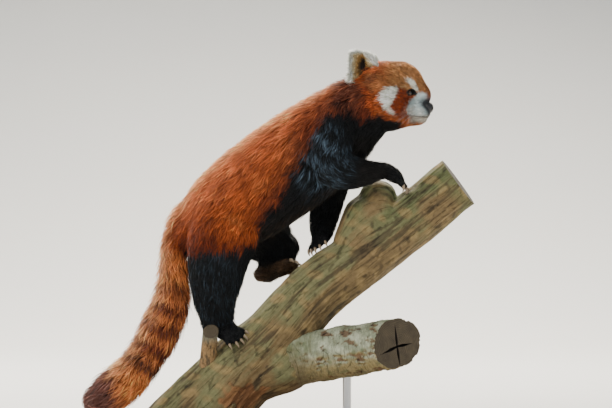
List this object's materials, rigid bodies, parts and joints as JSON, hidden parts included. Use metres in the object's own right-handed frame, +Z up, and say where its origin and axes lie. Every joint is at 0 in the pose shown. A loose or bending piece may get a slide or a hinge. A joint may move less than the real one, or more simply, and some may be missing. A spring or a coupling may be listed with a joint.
{
  "type": "red panda model on a branch",
  "caption": "Life-size still model of a red panda climbing a cut forked branch, held on a flat display base by short rods.",
  "frame": {"origin": "centre of the stand base's underside, on the floor", "axes": "+X the way the animal faces, +Y its left side, +Z up"},
  "size_m": [0.7294, 0.26, 0.704],
  "materials": {
    "rust_coat": "dense rust-red fur",
    "black_coat": "dense black fur",
    "face_coat": "short tan and white fur",
    "pale_ring": "bushy orange fur",
    "dark_ring": "bushy dark red fur",
    "tail_tip": "bushy dark brown fur",
    "ear_coat": "soft cream fur",
    "nose_skin": "moist black nose pad",
    "eye_glass": "glossy dark eye",
    "claw_horn": "pale horn",
    "bark": "weathered bare branch",
    "stand_steel": "satin steel rod",
    "stand_wood": "dark satin wood base"
  },
  "bodies": {
    "root": {"torso": "rust_coat", "neck": "rust_coat", "head": "face_coat", "nose": "nose_skin", "tail_1": "rust_coat", "tail_2": "pale_ring", "tail_3": "dark_ring", "tail_4": "pale_ring", "tail_5": "tail_tip", "ear_left": "ear_coat", "ear_right": "ear_coat", "eye_left": "eye_glass", "eye_right": "eye_glass", "foreleg_left": "black_coat", "foreleg_right": "black_coat", "forepaw_left": "black_coat", "forepaw_right": "black_coat", "hindleg_left": "black_coat", "hindleg_right": "black_coat", "hindpaw_left": "black_coat", "hindpaw_right": "black_coat", "perch_branch": "bark", "perch_side_branch": "bark", "perch_twig": "bark", "stand_base": "stand_wood", "stand_rod_low": "stand_steel", "stand_rod_side": "stand_steel", "claw_forepaw_left_1": "claw_horn", "claw_forepaw_left_2": "claw_horn", "claw_forepaw_left_3": "claw_horn", "claw_forepaw_left_4": "claw_horn", "claw_forepaw_left_5": "claw_horn", "claw_forepaw_right_1": "claw_horn", "claw_forepaw_right_2": "claw_horn", "claw_forepaw_right_3": "claw_horn", "claw_forepaw_right_4": "claw_horn", "claw_forepaw_right_5": "claw_horn", "claw_hindpaw_left_1": "claw_horn", "claw_hindpaw_left_2": "claw_horn", "claw_hindpaw_left_3": "claw_horn", "claw_hindpaw_left_4": "claw_horn", "claw_hindpaw_left_5": "claw_horn", "claw_hindpaw_right_1": "claw_horn", "claw_hindpaw_right_2": "claw_horn", "claw_hindpaw_right_3": "claw_horn", "claw_hindpaw_right_4": "claw_horn", "claw_hindpaw_right_5": "claw_horn"}
  },
  "joints": []
}
